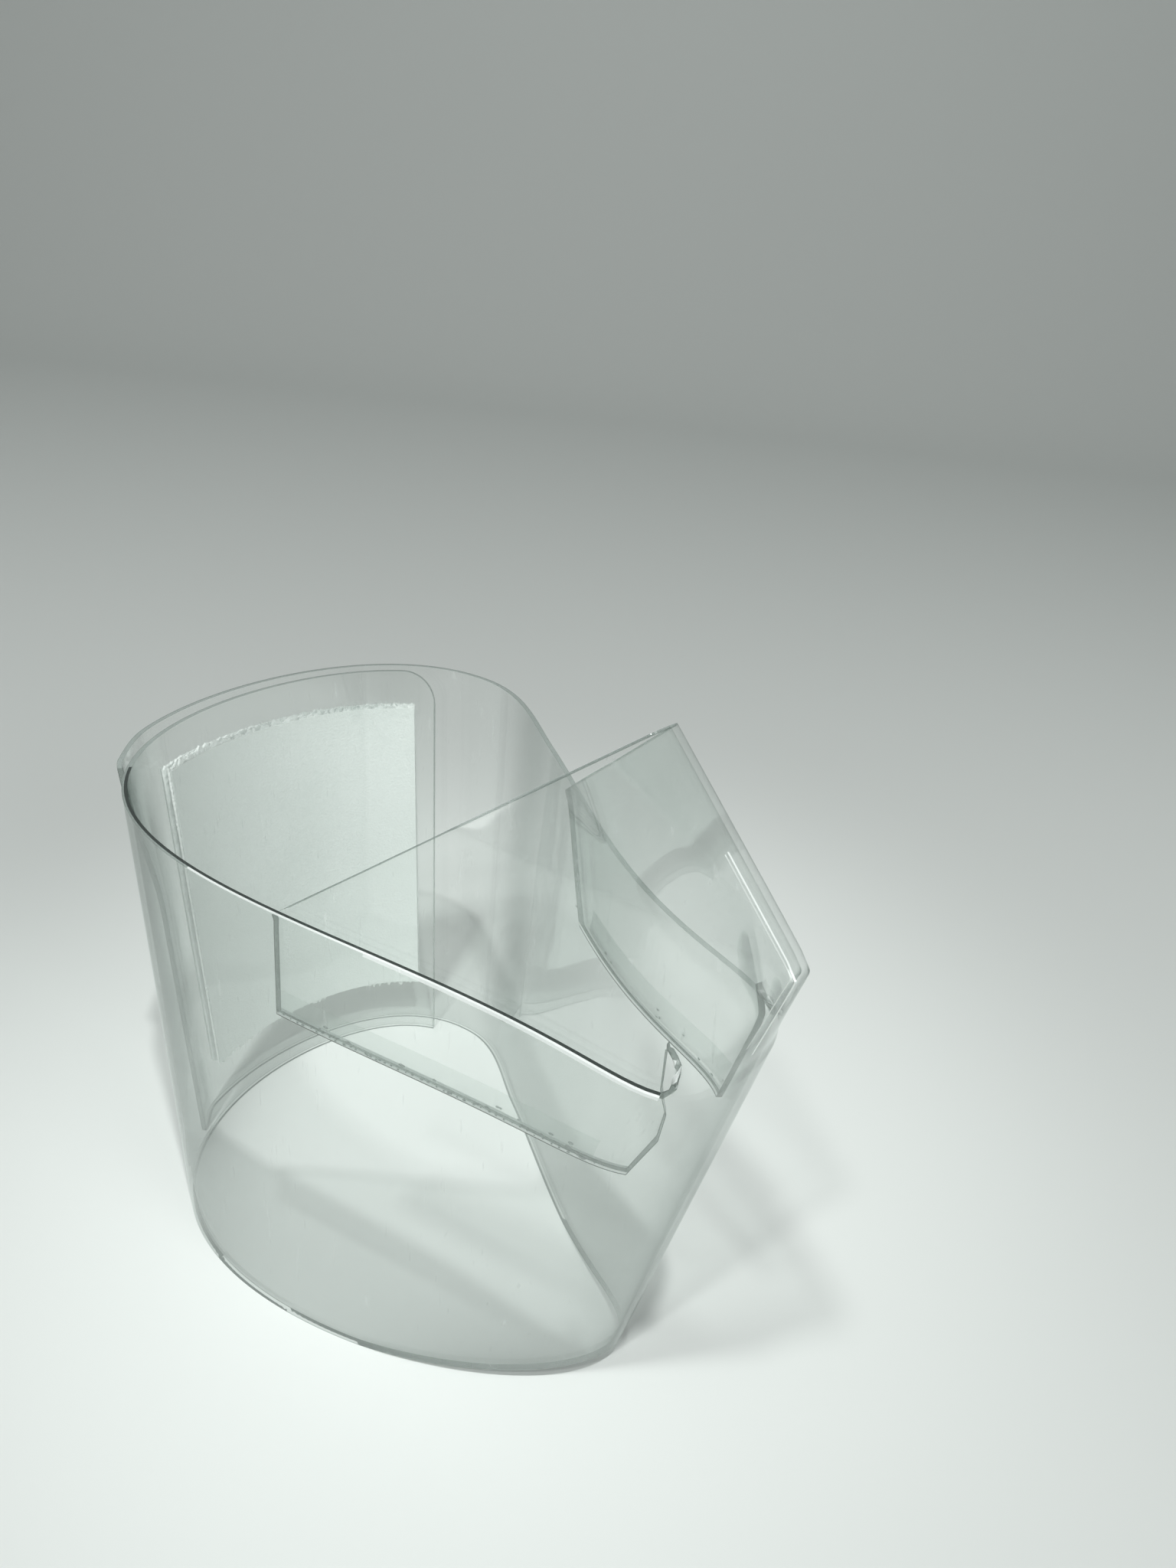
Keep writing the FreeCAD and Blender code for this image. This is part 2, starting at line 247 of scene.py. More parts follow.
def to_object(bm, name, sharp_from=None):
    """The mesh as a smooth object in the scene. Edges sharper than sharp_from degrees show."""
    mesh = bpy.data.meshes.new(name)
    bm.to_mesh(mesh)
    bm.free()
    mesh.shade_smooth()
    if sharp_from is not None:
        mesh.set_sharp_from_angle(angle=math.radians(sharp_from))
    obj = bpy.data.objects.new(name, mesh)
    bpy.context.collection.objects.link(obj)
    return obj


def columns_to_rows(columns):
    return [[column[j] for column in columns] for j in range(len(columns[0]))]


class Sheet:
    """A thin sheet: middle-surface grids welded into one mesh, then given its thickness."""

    def __init__(self):
        self.bm = bmesh.new()
        self.part = self.bm.faces.layers.int.new("part")

    def grid(self, rows, material_of, part):
        verts = [[self.bm.verts.new(p) for p in row] for row in rows]
        for j in range(len(rows) - 1):
            for i in range(len(rows[0]) - 1):
                corners = [verts[j][i], verts[j][i + 1], verts[j + 1][i + 1], verts[j + 1][i]]
                face = self.bm.faces.new(corners)
                face.material_index = material_of(j, i)
                face[self.part] = part

    def weld(self):
        bmesh.ops.remove_doubles(self.bm, verts=self.bm.verts, dist=0.02)
        bmesh.ops.dissolve_degenerate(self.bm, edges=self.bm.edges, dist=0.005)
        bmesh.ops.recalc_face_normals(self.bm, faces=self.bm.faces)
        self.bm.normal_update()

    def solid(self, name, part):
        """A mesh of one part, with rim faces at real edges only and none where parts join."""
        bm = bmesh.new()
        faces = [f for f in self.bm.faces if f[self.part] == part]
        up, down = {}, {}
        for face in faces:
            for v in face.verts:
                if v not in up:
                    step = v.normal * HALF
                    up[v] = bm.verts.new(place(v.co + step))
                    down[v] = bm.verts.new(place(v.co - step))
        for face in faces:
            one = bm.faces.new([up[v] for v in face.verts])
            other = bm.faces.new([down[v] for v in reversed(face.verts)])
            one.material_index = other.material_index = face.material_index
            middle = face.calc_center_median()
            outward = face.normal.x * middle.x + face.normal.y * middle.y > 0
            # along the near rim the sheet's outward face takes a painted highlight and the cut face
            # a painted dark reflection
            dark = face.material_index == EDGE_DARK_REFLECTION
            glint = EDGE_HIGHLIGHT if middle.x > GLINT_FROM_X else EDGE_FAINT
            if dark:
                (one if outward else other).material_index = glint
            for loop in face.loops:
                if len(loop.edge.link_faces) > 1:
                    continue
                a, b = loop.vert, loop.link_loop_next.vert
                if not dark:
                    rim = bm.faces.new([up[b], up[a], down[a], down[b]])
                    rim.material_index = max(EDGE, face.material_index)
                    continue
                # the near rim's cut face: a painted dark reflection on the inside, with a painted
                # highlight along its outside
                share = 1.0 - DARK_REFLECTION_SHARE if outward else DARK_REFLECTION_SHARE
                split = [bm.verts.new(up[v].co.lerp(down[v].co, share)) for v in (a, b)]
                halves = (bm.faces.new([up[b], up[a], split[0], split[1]]),
                          bm.faces.new([split[1], split[0], down[a], down[b]]))
                halves[0].material_index = glint if outward else EDGE_DARK_REFLECTION
                halves[1].material_index = EDGE_DARK_REFLECTION if outward else glint
        bmesh.ops.remove_doubles(bm, verts=bm.verts, dist=1e-6)
        return to_object(bm, name, sharp_from=38)


near_slit = solve(lambda a: top(a).x - NEAR_SLIT, 5.0, 6.1)
far_slit = TURN + solve(lambda a: top(a).x - FAR_SLIT, 0.2, 1.0)
near_back = solve(lambda a: top(a).x - WING_BACK_NEAR, 4.2, 5.2)
far_back = TURN + solve(lambda a: wall(a, 1.0, WING_OFFSET).x - HOOD_FAR.x, 1.0, 2.4)


def end_dip(distance, radius):
    """How far a rounded corner lowers the rim at this distance from the free end."""
    if distance >= radius:
        return 0.0
    return radius - math.sqrt(max(0.0, radius ** 2 - (radius - distance) ** 2))


def wall_rows(angles, wall_at, free_end=None, radius=0.0):
    """Rows of a stretch of wall, from the bottom edge up to the rim."""
    columns = []
    for a in angles:
        low = foot_share(a)
        high = 1.0
        if free_end is not None:
            high -= end_dip(rim_length(min(a, free_end), max(a, free_end), 12), radius) / RIM
        tall = (high - low) * RIM
        edge = RIM_STRIP_NEAR if a < near_slit else RIM_STRIP_FAR
        clear_top = tall - edge - GLINT
        levels = [0.0]
        levels += [mix(FOOT_STRIP, clear_top, i / WALL_STEPS) for i in range(WALL_STEPS + 1)]
        levels += [tall - edge, tall - 0.5 * edge, tall]
        columns.append([wall_at(a, low + level / RIM) for level in levels])
    return columns_to_rows(columns)


def wall_material(angles, free_start=False, free_end=False):
    """Materials of a stretch of wall. Under the hood the rim is no cut edge."""
    glint_row = WALL_STEPS + 1

    def pick(j, i):
        a = 0.5 * (angles[i] + angles[i + 1])
        if j == 0:
            return EDGE_FAINT
        # the rim strip: a painted dark reflection along the near rim, elsewhere the cut edge's grey
        if j > glint_row and not near_slit < a < far_slit:
            return EDGE_DARK_REFLECTION if DARK_REFLECTION_FROM < a < near_slit else EDGE_FAINT
        # a painted highlight strip just below the near rim
        if j == glint_row and GLINT_FROM < a < near_slit:
            return EDGE_HIGHLIGHT
        if free_start and i == 0:
            return EDGE_FAINT
        if free_end and i == len(angles) - 2:
            return EDGE
        return CLEAR
    return pick


def edge_at_start(angles, width=END_STRIP):
    """Adds one column a narrow way in from the first."""
    share = width / max(0.01, rim_length(angles[0], angles[1], 4))
    return [angles[0], angles[0] + (angles[1] - angles[0]) * share] + angles[1:]


def edge_at_end(angles, width=END_STRIP):
    """Adds one column a narrow way in from the last."""
    share = width / max(0.01, rim_length(angles[-2], angles[-1], 4))
    return angles[:-1] + [angles[-1] - (angles[-1] - angles[-2]) * share, angles[-1]]


def main_wall(angle, share):
    return wall(angle, share, ply_offset(angle))


def tail_wall(angle, share):
    reach = (angle - bend_to) / (TURN + OUTER_END - bend_to)
    angle = mix(bend_to, tail_end(share), reach)
    return wall(angle, share, tail_offset(angle, share))


per_angle = rim_length(HINGE_AT - 0.01, HINGE_AT + 0.01) / 0.02
bend_from = TURN + HINGE_AT - 0.5 * BEND_LENGTH / per_angle
bend_to = TURN + HINGE_AT + 0.5 * BEND_LENGTH / per_angle
corner_stop = INNER_END + (INNER_CORNER + 1.0) / per_angle

back_angles = even_angles(INNER_END, corner_stop, 16)
back_angles += even_angles(corner_stop, near_slit, 110)[1:]
back_angles = edge_at_start(back_angles)
front_angles = even_angles(near_slit, far_slit, FRONT_COLUMNS + 1)
far_angles = even_angles(far_slit, bend_from, 84)
main_angles = back_angles + front_angles[1:] + far_angles[1:]
bend_angles = even_angles(bend_from, bend_to, 33)
tail_angles = edge_at_end(even_angles(bend_to, TURN + OUTER_END, 80), TAIL_STRIP)

sheet = Sheet()
sheet.grid(
    wall_rows(main_angles, main_wall, free_end=INNER_END, radius=INNER_CORNER),
    wall_material(main_angles, free_start=True),
    MAIN,
)
sheet.grid(wall_rows(bend_angles, main_wall), wall_material(bend_angles), BEND)
sheet.grid(
    wall_rows(tail_angles, tail_wall, free_end=TURN + OUTER_END, radius=OUTER_CORNER),
    wall_material(tail_angles, free_end=True),
    TAIL,
)

# ---------------------------------------------------------------- the toe hood
edge_normal = (HOOD_FAR - HOOD_NEAR).cross(RIDGE_TOP - HOOD_NEAR).normalized()


def beyond_edge(point):
    """Positive on the toe side of the hood's free edge."""
    return (point - HOOD_NEAR).dot(edge_normal)


def ridge_x(z):
    """x of the fold at height z: up the toe's front, then back along the ridge."""
    toe_x = top(0.0).x
    up = toe_x + (RIDGE_FRONT.x - toe_x) * (z - RIM) / (RIDGE_FRONT.z - RIM)
    slope = (RIDGE_TOP.x - RIDGE_FRONT.x) / (RIDGE_TOP.z - RIDGE_FRONT.z)
    back = RIDGE_FRONT.x + slope * (z - RIDGE_FRONT.z)
    return 0.5 * (up + back - math.sqrt((up - back) ** 2 + RIDGE_SOFT))


def tent_y(z, x, foot):
    """y on the plane through the ridge and one foot of the hood."""
    n = (RIDGE_TOP - foot).cross(RIDGE_FRONT - foot)
    return foot.y - (n.x * (x - foot.x) + n.z * (z - foot.z)) / n.y


LEG_STEPS = 1500
leg_near = solve(lambda a: top(a).x - BACK_X, 4.0, 5.2)
leg_far = TURN + solve(lambda a: top(a).x - BACK_X, 1.2, 2.4)
leg_run = running_length([mix(leg_near, leg_far, i / LEG_STEPS) for i in range(LEG_STEPS + 1)])
nose_near = near_slit + 0.30
nose_far = far_slit - 0.25


def run_at(angle):
    t = (angle - leg_near) / (leg_far - leg_near) * LEG_STEPS
    k = min(LEG_STEPS - 1, max(0, int(t)))
    return mix(leg_run[k], leg_run[k + 1], t - k)


run_nose = (run_at(nose_near), run_at(nose_far))
run_slit = (run_at(near_slit), run_at(far_slit))
run_whole = leg_run[-1]


def leg_share(done, slit, whole):
    """How far along a leg of the fold a ruling lands: most of it is behind the slit."""
    if done < slit:
        return FOLD_AT_SLIT * done / slit
    return FOLD_AT_SLIT + (1.0 - FOLD_AT_SLIT) * (done - slit) / (whole - slit)


def fold_point(z, angle):
    """The point of the folded hood at height z that this ruling of the wall reaches."""
    near = Vector((BACK_X, tent_y(z, BACK_X, HOOD_NEAR), z))
    far = Vector((BACK_X, tent_y(z, BACK_X, HOOD_FAR), z))
    tip = Vector((ridge_x(z), RIDGE_FRONT.y, z))
    near_dir = (tip - near).normalized()
    far_dir = (tip - far).normalized()
    half_angle = 0.5 * near_dir.angle(far_dir)
    cut = RIDGE_RADIUS / math.tan(half_angle)
    reach = RIDGE_RADIUS / math.sin(half_angle)
    tip = tip + Vector((RIDGE_GIVEN_BACK * (reach - RIDGE_RADIUS), 0, 0))
    near_stop = tip - near_dir * cut
    far_stop = tip - far_dir * cut
    here = run_at(angle)
    if here <= run_nose[0]:
        return mix(near, near_stop, leg_share(here, run_slit[0], run_nose[0]))
    if here >= run_nose[1]:
        from_far = (run_whole - here, run_whole - run_slit[1], run_whole - run_nose[1])
        return mix(far, far_stop, leg_share(*from_far))
    middle = tip - (near_dir + far_dir).normalized() * reach
    a, b = near_stop - middle, far_stop - middle
    round_share = (here - run_nose[0]) / (run_nose[1] - run_nose[0])
    return middle + Matrix.Rotation(a.angle(b) * round_share, 3, "Z") @ a


def lean_at(z, bend_at, rounded_by):
    """How far the sheet has leaned from the wall to the fold: 0 below the bend, 1 at the fold."""
    above = z - bend_at
    whole = RIDGE_FRONT.z - bend_at
    if above <= -rounded_by:
        return 0.0
    if above < rounded_by:
        return (above + rounded_by) ** 2 / (4.0 * rounded_by) / whole
    return above / whole


def hood_between(angle, z, offset, bend):
    """The hood between the wall and its fold."""
    rim = wall(angle, 1.0, offset)
    base = wall(angle, min(1.0, share_at(angle, z)), offset)
    fold = fold_point(RIDGE_FRONT.z, angle)
    lean = Vector((fold.x - rim.x, fold.y - rim.y, 0)) * lean_at(z, *bend)
    return Vector((base.x, base.y, z)) + lean


def hood_point(angle, z, behind_slit=True):
    if z >= RIDGE_FRONT.z:
        return fold_point(z, angle)
    side = hood_between(angle, z, WING_OFFSET, SIDE_BEND)
    if behind_slit:
        return side
    front = hood_between(angle, z, 0.0, FRONT_BEND)
    from_near = ease(angle, near_slit, near_slit + 0.2)
    from_far = 1.0 - ease(angle, far_slit - 0.2, far_slit)
    close = 1.0 - min(from_near, from_far)
    return mix(front, side, close * ease(z, RIM, SLIT_TOP))


def edge_height(angle, behind_slit=True):
    """Height at which this column meets the hood's free edge."""
    return solve(lambda z: beyond_edge(hood_point(angle, z, behind_slit)), 64.0, 116.0)


def hood_column(angle, behind_slit, lens):
    """One column from the rim up to the free edge. lens opens the slit beside it: above 0 it
    moves the column toward greater angles, below 0 toward smaller ones."""
    finish = edge_height(angle, behind_slit)
    if finish <= RIM:
        return [hood_point(angle, finish)] * (HOOD_LOW_STEPS + HOOD_HIGH_STEPS + 2)
    step = 0.05
    at_edge = hood_point(angle, finish, behind_slit)
    steep = (at_edge - hood_point(angle, finish - step, behind_slit)).length / step
    stop = max(finish - HOOD_STRIP / steep, RIM + 0.2 * (finish - RIM))
    break_z = min(stop, RIDGE_FRONT.z)
    levels = [mix(RIM, break_z, i / HOOD_LOW_STEPS) for i in range(HOOD_LOW_STEPS + 1)]
    levels += [mix(break_z, stop, i / HOOD_HIGH_STEPS) for i in range(1, HOOD_HIGH_STEPS + 1)]
    levels += [finish]
    points = [hood_point(angle, z, behind_slit) for z in levels]
    if lens != 0.0:
        aside = math.copysign(0.01, lens)
        for k, z in enumerate(levels):
            if z < SLIT_TOP:
                bulge = math.sin(math.pi * (z - RIM) / (SLIT_TOP - RIM)) ** 0.8
                away = hood_point(angle + aside, z, False) - hood_point(angle, z, False)
                points[k] = points[k] + away.normalized() * (SLIT_WIDE * bulge * abs(lens))
    return points


def hood_side(angles):
    """Rows of the hood behind one slit."""
    return columns_to_rows([hood_column(a, True, 0.0) for a in angles])


def hood_front(angles):
    """Rows of the hood between the slits, drawn back from each slit over three columns."""
    columns = []
    for i, a in enumerate(angles):
        from_end = min(i, len(angles) - 1 - i)
        lens = max(0.0, 1.0 - from_end / 3.5)
        columns.append(hood_column(a, False, lens if i < len(angles) / 2 else -lens))
    return columns_to_rows(columns)


def hood_material(slit_at=(), glint_at=(), crease_highlight_at=()):
    """Materials of a patch of hood: slit columns, and painted highlights by the slits and on the
    crease.
    """
    def pick(j, i):
        if j == HOOD_LOW_STEPS + HOOD_HIGH_STEPS:
            return EDGE_FAINT
        # painted highlight at the relief slits' curled lips
        if i in glint_at and 1 < j < 6:
            return EDGE_HIGHLIGHT
        if i in slit_at and j < 7:
            return EDGE
        # painted highlight along the hood's crease
        if i in crease_highlight_at and 6 < j < 33:
            return EDGE_HIGHLIGHT
        return CLEAR
    return pick


near_side = edge_at_end(edge_at_start(even_angles(near_back, near_slit, 60)))
far_side = edge_at_end(edge_at_start(even_angles(far_slit, far_back, 60)))
# the column that carries the painted highlight along the crease, and painted highlights beside the
# slits
crease_highlight_angle = mix(nose_near, nose_far, 0.35)
crease_highlight_column = min(range(FRONT_COLUMNS), key=lambda i: abs(front_angles[i] - crease_highlight_angle))
front_material = hood_material(
    slit_at=(0, FRONT_COLUMNS - 1), glint_at=(1, 2, FRONT_COLUMNS - 2), crease_highlight_at=(crease_highlight_column,)
)
sheet.grid(hood_side(near_side), hood_material(slit_at=(len(near_side) - 2,)), MAIN)
sheet.grid(hood_front(front_angles), front_material, MAIN)
sheet.grid(hood_side(far_side), hood_material(slit_at=(0,)), MAIN)


# ---------------------------------------------------------------- the wings
def rim_x(angle):
    return wall(angle, 1.0, WING_OFFSET).x


def wing_back_near(z):
    return mix(rim_x(near_back), WING_BACK_NEAR, ease(z, RIM, RIM - 3))


def wing_back_far(z):
    return rim_x(far_back) + WING_BACK_LEAN * (RIM - z) / (RIM - WING_FLOOR)


def wing_toe_near(z):
    """x of the near wing's toe-side edge, which is slanted at its lower corner."""
    stations = ((WING_FLOOR, 50.4), (65.0, 53.7), (70.5, 55.0), (RIM, rim_x(near_slit)))
    for (low, x0), (high, x1) in zip(stations, stations[1:]):
        if z <= high:
            return mix(x0, x1, (z - low) / (high - low))
    return x1


def wing_toe_far(z):
    return rim_x(far_slit) - WING_TOE_LEAN * (RIM - z)


def near_angle(x, z):
    return solve(lambda a: wall(a, share_at(a, z), WING_OFFSET).x - x, 4.0, 6.2)


def far_angle(x, z):
    return TURN + solve(lambda a: wall(a, share_at(a, z), WING_OFFSET).x - x, 0.1, 2.4)


def wing_rows(angles, start_at, stop_at):
    """Rows of a wing, from the hood down to its lower edge. start_at and stop_at give the
    angles of its two upright edges at a height."""
    columns = []
    for a in angles:
        first = min(RIM, edge_height(a))
        share = (a - angles[0]) / (angles[-1] - angles[0])
        glint_top = WING_FLOOR + WING_STRIP + GLINT
        levels = [mix(first, glint_top, k / WING_STEPS) for k in range(1, WING_STEPS + 1)]
        levels += [WING_FLOOR + WING_STRIP, WING_FLOOR]
        column = [hood_point(a, first)]
        column += [hood_point(mix(start_at(z), stop_at(z), share), z) for z in levels]
        columns.append(column)
    return columns_to_rows(columns)


def wing_material(columns):
    def pick(j, i):
        if j == WING_STEPS + 1 or i in (0, columns - 2):
            return EDGE
        # a painted highlight strip just above the wing's lower edge
        return EDGE_HIGHLIGHT if j == WING_STEPS else CLEAR
    return pick


near_rows = wing_rows(
    near_side,
    lambda z: near_angle(wing_back_near(z), z),
    lambda z: near_angle(wing_toe_near(z), z),
)
far_rows = wing_rows(
    far_side,
    lambda z: far_angle(wing_toe_far(z), z),
    lambda z: far_angle(wing_back_far(z), z),
)
sheet.grid(near_rows, wing_material(len(near_side)), MAIN)
sheet.grid(far_rows, wing_material(len(far_side)), MAIN)
sheet.weld()

clear_sheet = sheet.solid("clear_sheet", MAIN)
bend_strip = sheet.solid("peel_bend", BEND)
tail_sheet = sheet.solid("tail_sheet", TAIL)


# ---------------------------------------------------------------- hook-and-loop pads
def pad_point(a, s, offset, seed, fuzz):
    """A point of a pad. Its upper and lower edges are ragged by up to about fuzz."""
    rag = 0.1 + noise.noise(Vector((a * 90, seed, s * 3))) * 0.5
    rag += noise.noise(Vector((a * 260, seed, 1))) * 0.3
    edge = 1.0 if s > 0.5 else -1.0
    from_middle = abs(s - 0.5 * (PAD_LOW + PAD_HIGH)) / (0.5 * (PAD_HIGH - PAD_LOW))
    near_edge = max(0.0, from_middle - 0.9) / 0.1
    return wall(a, s + edge * near_edge * rag * fuzz / RIM, offset)


def pad_face(bm, middle, half, side, seed, fuzz):
    """Vertices of one face of a pad, rounded off at its outline and uneven like pile."""
    rows = []
    for j in range(PAD_ROWS + 1):
        s = mix(PAD_LOW, PAD_HIGH, j / PAD_ROWS)
        row = []
        for i in range(PAD_COLUMNS + 1):
            a = mix(PAD_FROM, PAD_TO, i / PAD_COLUMNS)
            rim = min(i, PAD_COLUMNS - i, 2 * j, 2 * (PAD_ROWS - j)) / 2.0
            round_off = 1.0 - 0.35 * max(0.0, 1.0 - rim) ** 2
            pile = 0.06 * noise.noise(Vector((a * 60, s * 90, seed + side)))
            offset = middle + side * (half * round_off - 0.05 + pile)
            row.append(bm.verts.new(place(pad_point(a, s, offset, seed, fuzz))))
        rows.append(row)
    return rows


def add_fibre(bm, rnd, middle, fuzz):
    """One loose fibre at a pad's upper or lower edge."""
    a = rnd.uniform(PAD_FROM, PAD_TO)
    up = rnd.random() < 0.5
    s = PAD_HIGH if up else PAD_LOW
    root = wall(a, s + (-0.4 if up else 0.4) / RIM, middle)
    along = (wall(a + 0.01, s, middle) - root).normalized()
    rise = Vector((0, 0, 1.0 if up else -1.0))
    across = rise.cross(along)
    grow = rnd.uniform(0.3, 0.9) * fuzz + 0.3
    lean = rnd.uniform(-1.0, 1.0)
    radius = rnd.uniform(0.025, 0.05)
    strand = []
    for k in range(5):
        t = k / 4
        point = root + rise * grow * t * (1 - 0.3 * t * abs(lean)) + along * lean * grow * t * t
        point += Vector((rnd.uniform(-1, 1), rnd.uniform(-1, 1), 0)) * 0.04
        size = radius * (1 - 0.6 * t)
        ring = [along * size, across.normalized() * size, -(along + across) * size * 0.7]
        strand.append([bm.verts.new(place(point + r)) for r in ring])
    for one, two in zip(strand, strand[1:]):
        for c in range(3):
            d = (c + 1) % 3
            bm.faces.new([one[c], one[d], two[d], two[c]])


def pad_mesh(name, inner_face, outer_face, seed, fuzz, fibres=640):
    """A fabric pad between two offsets, with ragged upper and lower edges and loose fibres."""
    rnd = random.Random(seed)
    bm = bmesh.new()
    middle = 0.5 * (inner_face + outer_face)
    half = 0.5 * (outer_face - inner_face)
    low = pad_face(bm, middle, half, -1, seed, fuzz)
    high = pad_face(bm, middle, half, 1, seed, fuzz)
    for j in range(PAD_ROWS):
        for i in range(PAD_COLUMNS):
            bm.faces.new([high[j][i], high[j][i + 1], high[j + 1][i + 1], high[j + 1][i]])
            bm.faces.new([low[j + 1][i], low[j + 1][i + 1], low[j][i + 1], low[j][i]])
    for i in range(PAD_COLUMNS):
        bm.faces.new([low[0][i], low[0][i + 1], high[0][i + 1], high[0][i]])
        bm.faces.new([high[-1][i], high[-1][i + 1], low[-1][i + 1], low[-1][i]])
    for j in range(PAD_ROWS):
        bm.faces.new([high[j][0], high[j + 1][0], low[j + 1][0], low[j][0]])
        bm.faces.new([low[j][-1], low[j + 1][-1], high[j + 1][-1], high[j][-1]])
    bmesh.ops.recalc_face_normals(bm, faces=bm.faces)
    for _ in range(fibres):
        add_fibre(bm, rnd, middle, fuzz)
    return to_object(bm, name, sharp_from=50)


loop_fabric = pad_mesh("loop_fabric", 0.55, 1.35, seed=3, fuzz=2.2)
hook_fabric = pad_mesh("hook_fabric", 1.65, 2.45, seed=8, fuzz=1.2)

# ---------------------------------------------------------------- trapped bubbles at the wing tape
BUBBLE_OFFSET = -0.5        # between the wall and the wing
BUBBLE_HALF_THICK = 0.07
bm = bmesh.new()


def bubble(angle, z, size, long):
    """One flattened bubble between the wall and the wing, longer along the wall."""
    centre = wall(angle, share_at(angle, z), BUBBLE_OFFSET)
    along = (wall(angle + 0.01, share_at(angle, z), BUBBLE_OFFSET) - centre).normalized()
    out = along.cross(Vector((0, 0, 1))).normalized()
    made = bmesh.ops.create_icosphere(bm, subdivisions=2, radius=1.0)
    for v in made["verts"]:
        c = v.co.copy()
        stretched = along * c.x * size * long + Vector((0, 0, c.z * size))
        v.co = place(centre + stretched + out * c.y * BUBBLE_HALF_THICK)


rnd = random.Random(21)
for a in even_angles(near_back + 0.03, near_slit - 0.16, 44):
    a += rnd.uniform(-0.004, 0.004)
    z = WING_FLOOR + rnd.uniform(0.45, 0.75)
    bubble(a, z, rnd.uniform(0.09, 0.17), rnd.uniform(1.0, 1.8))
for _ in range(34):
    if rnd.random() < 0.7:
        a = mix(near_back + 0.05, near_slit - 0.14, rnd.random() ** 0.8)
    else:
        a = mix(far_slit + 0.1, far_back - 0.1, rnd.random())
    z = WING_FLOOR + abs(rnd.gauss(0.4, 0.9)) + 0.5
    bubble(a, z, rnd.uniform(0.08, 0.24), rnd.uniform(1.0, 2.6))
bubbles = to_object(bm, "tape_bubbles")


# ---------------------------------------------------------------- materials
def new_material(name):
    material = bpy.data.materials.new(name)
    material.use_nodes = True
    tree = material.node_tree
    tree.nodes.clear()
    out = tree.nodes.new("ShaderNodeOutputMaterial")
    return material, tree, out


def add(tree, kind, **values):
    """A node with its sockets, or else its settings, set by name."""
    node = tree.nodes.new(kind)
    for key, value in values.items():
        if key in node.inputs:
            node.inputs[key].default_value = value
        else:
            setattr(node, key, value)
    return node


def math_node(tree, operation, first, second):
    """The result of a Math node on a socket and a number, or on two sockets."""
    node = add(tree, "ShaderNodeMath", operation=operation)
    tree.links.new(first, node.inputs[0])
    if isinstance(second, float):
        node.inputs[1].default_value = second
    else:
        tree.links.new(second, node.inputs[1])
    return node.outputs[0]


def map_range(tree, value, taken, given):
    """The result of a Map Range node that takes one range to another."""
    limits = {"From Min": taken[0], "From Max": taken[1], "To Min": given[0], "To Max": given[1]}
    node = add(tree, "ShaderNodeMapRange", **limits)
    tree.links.new(value, node.inputs["Value"])
    return node.outputs["Result"]


def colour_mix(tree, share, second):
    """A colour Mix node with its second colour set: its first colour's socket and its result."""
    node = add(tree, "ShaderNodeMix", data_type="RGBA")
    tree.links.new(share, node.inputs[0])
    colours = {item.name: item for item in node.inputs if item.type == "RGBA"}
    colours["B"].default_value = second
    return colours["A"], [item for item in node.outputs if item.type == "RGBA"][0]


def shader_mix(tree, share, first, second):
    node = add(tree, "ShaderNodeMixShader")
    tree.links.new(share, node.inputs["Fac"])
    tree.links.new(first, node.inputs[1])
    tree.links.new(second, node.inputs[2])
    return node.outputs[0]


